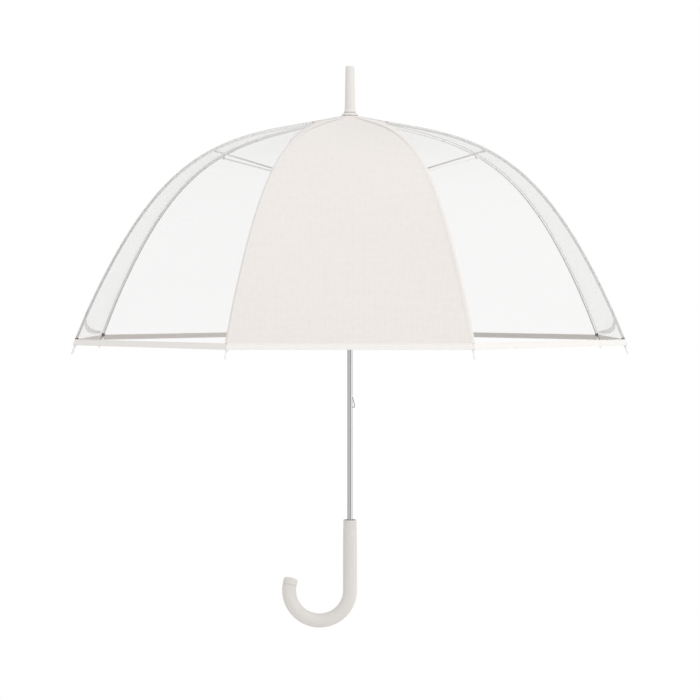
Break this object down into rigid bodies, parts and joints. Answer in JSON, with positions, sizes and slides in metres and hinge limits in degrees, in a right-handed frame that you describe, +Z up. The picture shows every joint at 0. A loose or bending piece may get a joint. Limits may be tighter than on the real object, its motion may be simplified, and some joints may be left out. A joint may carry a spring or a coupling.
{
  "type": "stick umbrella",
  "caption": "Open dome stick umbrella with white fabric and clear film panels, a channel rib frame, a sliding runner, spring catches and a crook handle.",
  "frame": {"origin": "on the axis of the shaft, at the middle of the straight grip of the handle", "axes": "+Z up along the shaft to the ferrule, -Y to the front panel, -X to the open side of the crook"},
  "size_m": [0.7834, 0.7834, 0.831],
  "materials": {
    "white_fabric": "matte woven polyester, warm white",
    "binding_tape": "matte folded tape, warm white",
    "clear_film": "clear soft plastic film, glossy",
    "handle_plastic": "satin white plastic",
    "white_plastic": "moulded white plastic, slightly glossy",
    "dark_plastic": "matte dark grey plastic",
    "bright_steel": "bright plated steel tube",
    "grey_steel": "plated steel, satin grey",
    "spring_steel": "dark spring steel"
  },
  "bodies": {
    "shaft": {"shaft_tube": "bright_steel", "ferrule": "white_plastic", "crown_cap": "white_plastic", "crown_notch": "white_plastic", "crown_wire": "grey_steel", "stop_pin": "grey_steel", "handle": "handle_plastic", "handle_collar": "dark_plastic", "handle_end_cap": "handle_plastic"},
    "runner": {"runner": "white_plastic"},
    "top_catch": {"top_catch": "spring_steel"},
    "bottom_catch": {"bottom_catch": "spring_steel"},
    "panel_1": {"canopy_panel_1": "white_fabric"},
    "hem_1": {"hem_tape_1": "binding_tape"},
    "panel_2": {"canopy_panel_2": "clear_film"},
    "hem_2": {"hem_tape_2": "binding_tape"},
    "panel_3": {"canopy_panel_3": "clear_film"},
    "hem_3": {"hem_tape_3": "binding_tape"},
    "panel_4": {"canopy_panel_4": "clear_film"},
    "hem_4": {"hem_tape_4": "binding_tape"},
    "panel_5": {"canopy_panel_5": "white_fabric"},
    "hem_5": {"hem_tape_5": "binding_tape"},
    "panel_6": {"canopy_panel_6": "clear_film"},
    "hem_6": {"hem_tape_6": "binding_tape"},
    "panel_7": {"canopy_panel_7": "clear_film"},
    "hem_7": {"hem_tape_7": "binding_tape"},
    "panel_8": {"canopy_panel_8": "clear_film"},
    "hem_8": {"hem_tape_8": "binding_tape"},
    "rib_inner_1": {"rib_inner_1": "grey_steel"},
    "rib_outer_1": {"rib_outer_1": "grey_steel", "rib_tip_1": "white_plastic"},
    "stretcher_1": {"stretcher_1": "grey_steel"},
    "rib_inner_2": {"rib_inner_2": "grey_steel"},
    "rib_outer_2": {"rib_outer_2": "grey_steel", "rib_tip_2": "white_plastic"},
    "stretcher_2": {"stretcher_2": "grey_steel"},
    "rib_inner_3": {"rib_inner_3": "grey_steel"},
    "rib_outer_3": {"rib_outer_3": "grey_steel", "rib_tip_3": "white_plastic"},
    "stretcher_3": {"stretcher_3": "grey_steel"},
    "rib_inner_4": {"rib_inner_4": "grey_steel"},
    "rib_outer_4": {"rib_outer_4": "grey_steel", "rib_tip_4": "white_plastic"},
    "stretcher_4": {"stretcher_4": "grey_steel"},
    "rib_inner_5": {"rib_inner_5": "grey_steel"},
    "rib_outer_5": {"rib_outer_5": "grey_steel", "rib_tip_5": "white_plastic"},
    "stretcher_5": {"stretcher_5": "grey_steel"},
    "rib_inner_6": {"rib_inner_6": "grey_steel"},
    "rib_outer_6": {"rib_outer_6": "grey_steel", "rib_tip_6": "white_plastic"},
    "stretcher_6": {"stretcher_6": "grey_steel"},
    "rib_inner_7": {"rib_inner_7": "grey_steel"},
    "rib_outer_7": {"rib_outer_7": "grey_steel", "rib_tip_7": "white_plastic"},
    "stretcher_7": {"stretcher_7": "grey_steel"},
    "rib_inner_8": {"rib_inner_8": "grey_steel"},
    "rib_outer_8": {"rib_outer_8": "grey_steel", "rib_tip_8": "white_plastic"},
    "stretcher_8": {"stretcher_8": "grey_steel"}
  },
  "joints": [
    {"name": "canopy_fold", "type": "hinge", "parent": "shaft", "child": "panel_1", "pos_m": [0, -0.00785, 0.6468], "axis": [1, 0, 0], "range_deg": [0, 62.81], "deforming": ["canopy_panel_1", "canopy_panel_2", "canopy_panel_3", "canopy_panel_4", "canopy_panel_5", "canopy_panel_6", "canopy_panel_7", "canopy_panel_8", "hem_tape_1", "hem_tape_2", "hem_tape_3", "hem_tape_4", "hem_tape_5", "hem_tape_6", "hem_tape_7", "hem_tape_8", "top_catch", "bottom_catch"]},
    {"name": "panel_fold_2", "type": "hinge", "parent": "shaft", "child": "panel_2", "pos_m": [0.00555, -0.00555, 0.6468], "axis": [0.7071, 0.7071, 0], "range_deg": [0, 62.81]},
    {"name": "panel_fold_3", "type": "hinge", "parent": "shaft", "child": "panel_3", "pos_m": [0.00785, 0, 0.6468], "axis": [0, 1, 0], "range_deg": [0, 62.81]},
    {"name": "panel_fold_4", "type": "hinge", "parent": "shaft", "child": "panel_4", "pos_m": [0.00555, 0.00555, 0.6468], "axis": [-0.7071, 0.7071, 0], "range_deg": [0, 62.81]},
    {"name": "panel_fold_5", "type": "hinge", "parent": "shaft", "child": "panel_5", "pos_m": [0, 0.00785, 0.6468], "axis": [-1, 0, 0], "range_deg": [0, 62.81]},
    {"name": "panel_fold_6", "type": "hinge", "parent": "shaft", "child": "panel_6", "pos_m": [-0.00555, 0.00555, 0.6468], "axis": [-0.7071, -0.7071, 0], "range_deg": [0, 62.81]},
    {"name": "panel_fold_7", "type": "hinge", "parent": "shaft", "child": "panel_7", "pos_m": [-0.00785, 0, 0.6468], "axis": [0, -1, 0], "range_deg": [0, 62.81]},
    {"name": "panel_fold_8", "type": "hinge", "parent": "shaft", "child": "panel_8", "pos_m": [-0.00555, -0.00555, 0.6468], "axis": [0.7071, -0.7071, 0], "range_deg": [0, 62.81]},
    {"name": "hem_flex_1", "type": "hinge", "parent": "panel_1", "child": "hem_1", "pos_m": [0, -0.25354, 0.55379], "axis": [1, 0, 0], "range_deg": [-33.42, 0]},
    {"name": "hem_flex_2", "type": "hinge", "parent": "panel_2", "child": "hem_2", "pos_m": [0.17928, -0.17928, 0.55379], "axis": [0.7071, 0.7071, 0], "range_deg": [-33.42, 0]},
    {"name": "hem_flex_3", "type": "hinge", "parent": "panel_3", "child": "hem_3", "pos_m": [0.25354, 0, 0.55379], "axis": [0, 1, 0], "range_deg": [-33.42, 0]},
    {"name": "hem_flex_4", "type": "hinge", "parent": "panel_4", "child": "hem_4", "pos_m": [0.17928, 0.17928, 0.55379], "axis": [-0.7071, 0.7071, 0], "range_deg": [-33.42, 0]},
    {"name": "hem_flex_5", "type": "hinge", "parent": "panel_5", "child": "hem_5", "pos_m": [0, 0.25354, 0.55379], "axis": [-1, 0, 0], "range_deg": [-33.42, 0]},
    {"name": "hem_flex_6", "type": "hinge", "parent": "panel_6", "child": "hem_6", "pos_m": [-0.17928, 0.17928, 0.55379], "axis": [-0.7071, -0.7071, 0], "range_deg": [-33.42, 0]},
    {"name": "hem_flex_7", "type": "hinge", "parent": "panel_7", "child": "hem_7", "pos_m": [-0.25354, 0, 0.55379], "axis": [0, -1, 0], "range_deg": [-33.42, 0]},
    {"name": "hem_flex_8", "type": "hinge", "parent": "panel_8", "child": "hem_8", "pos_m": [-0.17928, -0.17928, 0.55379], "axis": [0.7071, -0.7071, 0], "range_deg": [-33.42, 0]},
    {"name": "rib_pivot_1", "type": "hinge", "parent": "shaft", "child": "rib_inner_1", "pos_m": [0.00325, -0.00785, 0.6468], "axis": [0.9239, 0.3827, 0], "range_deg": [0, 64.2]},
    {"name": "rib_flex_1", "type": "hinge", "parent": "rib_inner_1", "child": "rib_outer_1", "pos_m": [0.10435, -0.25193, 0.55187], "axis": [0.9239, 0.3827, 0], "range_deg": [-32.84, 0]},
    {"name": "stretcher_pivot_1", "type": "hinge", "parent": "rib_inner_1", "child": "stretcher_1", "pos_m": [0.07954, -0.19202, 0.5928], "axis": [0.9239, 0.3827, 0], "range_deg": [-129.43, 0]},
    {"name": "rib_pivot_2", "type": "hinge", "parent": "shaft", "child": "rib_inner_2", "pos_m": [0.00785, -0.00325, 0.6468], "axis": [0.3827, 0.9239, 0], "range_deg": [0, 64.2]},
    {"name": "rib_flex_2", "type": "hinge", "parent": "rib_inner_2", "child": "rib_outer_2", "pos_m": [0.25193, -0.10435, 0.55187], "axis": [0.3827, 0.9239, 0], "range_deg": [-32.84, 0]},
    {"name": "stretcher_pivot_2", "type": "hinge", "parent": "rib_inner_2", "child": "stretcher_2", "pos_m": [0.19202, -0.07954, 0.5928], "axis": [0.3827, 0.9239, 0], "range_deg": [-129.43, 0]},
    {"name": "rib_pivot_3", "type": "hinge", "parent": "shaft", "child": "rib_inner_3", "pos_m": [0.00785, 0.00325, 0.6468], "axis": [-0.3827, 0.9239, 0], "range_deg": [0, 64.2]},
    {"name": "rib_flex_3", "type": "hinge", "parent": "rib_inner_3", "child": "rib_outer_3", "pos_m": [0.25193, 0.10435, 0.55187], "axis": [-0.3827, 0.9239, 0], "range_deg": [-32.84, 0]},
    {"name": "stretcher_pivot_3", "type": "hinge", "parent": "rib_inner_3", "child": "stretcher_3", "pos_m": [0.19202, 0.07954, 0.5928], "axis": [-0.3827, 0.9239, 0], "range_deg": [-129.43, 0]},
    {"name": "rib_pivot_4", "type": "hinge", "parent": "shaft", "child": "rib_inner_4", "pos_m": [0.00325, 0.00785, 0.6468], "axis": [-0.9239, 0.3827, 0], "range_deg": [0, 64.2]},
    {"name": "rib_flex_4", "type": "hinge", "parent": "rib_inner_4", "child": "rib_outer_4", "pos_m": [0.10435, 0.25193, 0.55187], "axis": [-0.9239, 0.3827, 0], "range_deg": [-32.84, 0]},
    {"name": "stretcher_pivot_4", "type": "hinge", "parent": "rib_inner_4", "child": "stretcher_4", "pos_m": [0.07954, 0.19202, 0.5928], "axis": [-0.9239, 0.3827, 0], "range_deg": [-129.43, 0]},
    {"name": "rib_pivot_5", "type": "hinge", "parent": "shaft", "child": "rib_inner_5", "pos_m": [-0.00325, 0.00785, 0.6468], "axis": [-0.9239, -0.3827, 0], "range_deg": [0, 64.2]},
    {"name": "rib_flex_5", "type": "hinge", "parent": "rib_inner_5", "child": "rib_outer_5", "pos_m": [-0.10435, 0.25193, 0.55187], "axis": [-0.9239, -0.3827, 0], "range_deg": [-32.84, 0]},
    {"name": "stretcher_pivot_5", "type": "hinge", "parent": "rib_inner_5", "child": "stretcher_5", "pos_m": [-0.07954, 0.19202, 0.5928], "axis": [-0.9239, -0.3827, 0], "range_deg": [-129.43, 0]},
    {"name": "rib_pivot_6", "type": "hinge", "parent": "shaft", "child": "rib_inner_6", "pos_m": [-0.00785, 0.00325, 0.6468], "axis": [-0.3827, -0.9239, 0], "range_deg": [0, 64.2]},
    {"name": "rib_flex_6", "type": "hinge", "parent": "rib_inner_6", "child": "rib_outer_6", "pos_m": [-0.25193, 0.10435, 0.55187], "axis": [-0.3827, -0.9239, 0], "range_deg": [-32.84, 0]},
    {"name": "stretcher_pivot_6", "type": "hinge", "parent": "rib_inner_6", "child": "stretcher_6", "pos_m": [-0.19202, 0.07954, 0.5928], "axis": [-0.3827, -0.9239, 0], "range_deg": [-129.43, 0]},
    {"name": "rib_pivot_7", "type": "hinge", "parent": "shaft", "child": "rib_inner_7", "pos_m": [-0.00785, -0.00325, 0.6468], "axis": [0.3827, -0.9239, 0], "range_deg": [0, 64.2]},
    {"name": "rib_flex_7", "type": "hinge", "parent": "rib_inner_7", "child": "rib_outer_7", "pos_m": [-0.25193, -0.10435, 0.55187], "axis": [0.3827, -0.9239, 0], "range_deg": [-32.84, 0]},
    {"name": "stretcher_pivot_7", "type": "hinge", "parent": "rib_inner_7", "child": "stretcher_7", "pos_m": [-0.19202, -0.07954, 0.5928], "axis": [0.3827, -0.9239, 0], "range_deg": [-129.43, 0]},
    {"name": "rib_pivot_8", "type": "hinge", "parent": "shaft", "child": "rib_inner_8", "pos_m": [-0.00325, -0.00785, 0.6468], "axis": [0.9239, -0.3827, 0], "range_deg": [0, 64.2]},
    {"name": "rib_flex_8", "type": "hinge", "parent": "rib_inner_8", "child": "rib_outer_8", "pos_m": [-0.10435, -0.25193, 0.55187], "axis": [0.9239, -0.3827, 0], "range_deg": [-32.84, 0]},
    {"name": "stretcher_pivot_8", "type": "hinge", "parent": "rib_inner_8", "child": "stretcher_8", "pos_m": [-0.07954, -0.19202, 0.5928], "axis": [0.9239, -0.3827, 0], "range_deg": [-129.43, 0]},
    {"name": "runner_slide", "type": "slide", "parent": "shaft", "child": "runner", "axis": [0, 0, -1], "range_m": [0, 0.29772]},
    {"name": "bottom_catch_press", "type": "hinge", "parent": "shaft", "child": "bottom_catch", "pos_m": [0.0013, 0, 0.1774], "axis": [0, -1, 0], "range_deg": [0, 3.6], "stiffness_Nm_per_rad": 2},
    {"name": "top_catch_press", "type": "hinge", "parent": "shaft", "child": "top_catch", "pos_m": [0.0013, 0, 0.5426], "axis": [0, 1, 0], "range_deg": [0, 3.6], "stiffness_Nm_per_rad": 2}
  ],
  "couplings": [
    {"joint": "panel_fold_2", "follows": "canopy_fold", "ratio": 0.99999},
    {"joint": "panel_fold_3", "follows": "canopy_fold", "ratio": 0.99999},
    {"joint": "panel_fold_4", "follows": "canopy_fold", "ratio": 0.99999},
    {"joint": "panel_fold_5", "follows": "canopy_fold", "ratio": 0.99999},
    {"joint": "panel_fold_6", "follows": "canopy_fold", "ratio": 0.99999},
    {"joint": "panel_fold_7", "follows": "canopy_fold", "ratio": 0.99999},
    {"joint": "panel_fold_8", "follows": "canopy_fold", "ratio": 0.99999},
    {"joint": "hem_flex_1", "follows": "canopy_fold", "ratio": -0.53206},
    {"joint": "hem_flex_2", "follows": "canopy_fold", "ratio": -0.53206},
    {"joint": "hem_flex_3", "follows": "canopy_fold", "ratio": -0.53206},
    {"joint": "hem_flex_4", "follows": "canopy_fold", "ratio": -0.53206},
    {"joint": "hem_flex_5", "follows": "canopy_fold", "ratio": -0.53206},
    {"joint": "hem_flex_6", "follows": "canopy_fold", "ratio": -0.53206},
    {"joint": "hem_flex_7", "follows": "canopy_fold", "ratio": -0.53206},
    {"joint": "hem_flex_8", "follows": "canopy_fold", "ratio": -0.53206},
    {"joint": "rib_pivot_1", "follows": "canopy_fold", "ratio": 1.0222},
    {"joint": "rib_flex_1", "follows": "canopy_fold", "ratio": -0.52292},
    {"joint": "stretcher_pivot_1", "follows": "canopy_fold", "ratio": -2.0608},
    {"joint": "rib_pivot_2", "follows": "canopy_fold", "ratio": 1.0222},
    {"joint": "rib_flex_2", "follows": "canopy_fold", "ratio": -0.52292},
    {"joint": "stretcher_pivot_2", "follows": "canopy_fold", "ratio": -2.0608},
    {"joint": "rib_pivot_3", "follows": "canopy_fold", "ratio": 1.0222},
    {"joint": "rib_flex_3", "follows": "canopy_fold", "ratio": -0.52292},
    {"joint": "stretcher_pivot_3", "follows": "canopy_fold", "ratio": -2.0608},
    {"joint": "rib_pivot_4", "follows": "canopy_fold", "ratio": 1.0222},
    {"joint": "rib_flex_4", "follows": "canopy_fold", "ratio": -0.52292},
    {"joint": "stretcher_pivot_4", "follows": "canopy_fold", "ratio": -2.0608},
    {"joint": "rib_pivot_5", "follows": "canopy_fold", "ratio": 1.0222},
    {"joint": "rib_flex_5", "follows": "canopy_fold", "ratio": -0.52292},
    {"joint": "stretcher_pivot_5", "follows": "canopy_fold", "ratio": -2.0608},
    {"joint": "rib_pivot_6", "follows": "canopy_fold", "ratio": 1.0222},
    {"joint": "rib_flex_6", "follows": "canopy_fold", "ratio": -0.52292},
    {"joint": "stretcher_pivot_6", "follows": "canopy_fold", "ratio": -2.0608},
    {"joint": "rib_pivot_7", "follows": "canopy_fold", "ratio": 1.0222},
    {"joint": "rib_flex_7", "follows": "canopy_fold", "ratio": -0.52292},
    {"joint": "stretcher_pivot_7", "follows": "canopy_fold", "ratio": -2.0608},
    {"joint": "rib_pivot_8", "follows": "canopy_fold", "ratio": 1.0222},
    {"joint": "rib_flex_8", "follows": "canopy_fold", "ratio": -0.52292},
    {"joint": "stretcher_pivot_8", "follows": "canopy_fold", "ratio": -2.0608},
    {"joint": "runner_slide", "follows": "canopy_fold", "m_per_rad": 0.2716}
  ]
}
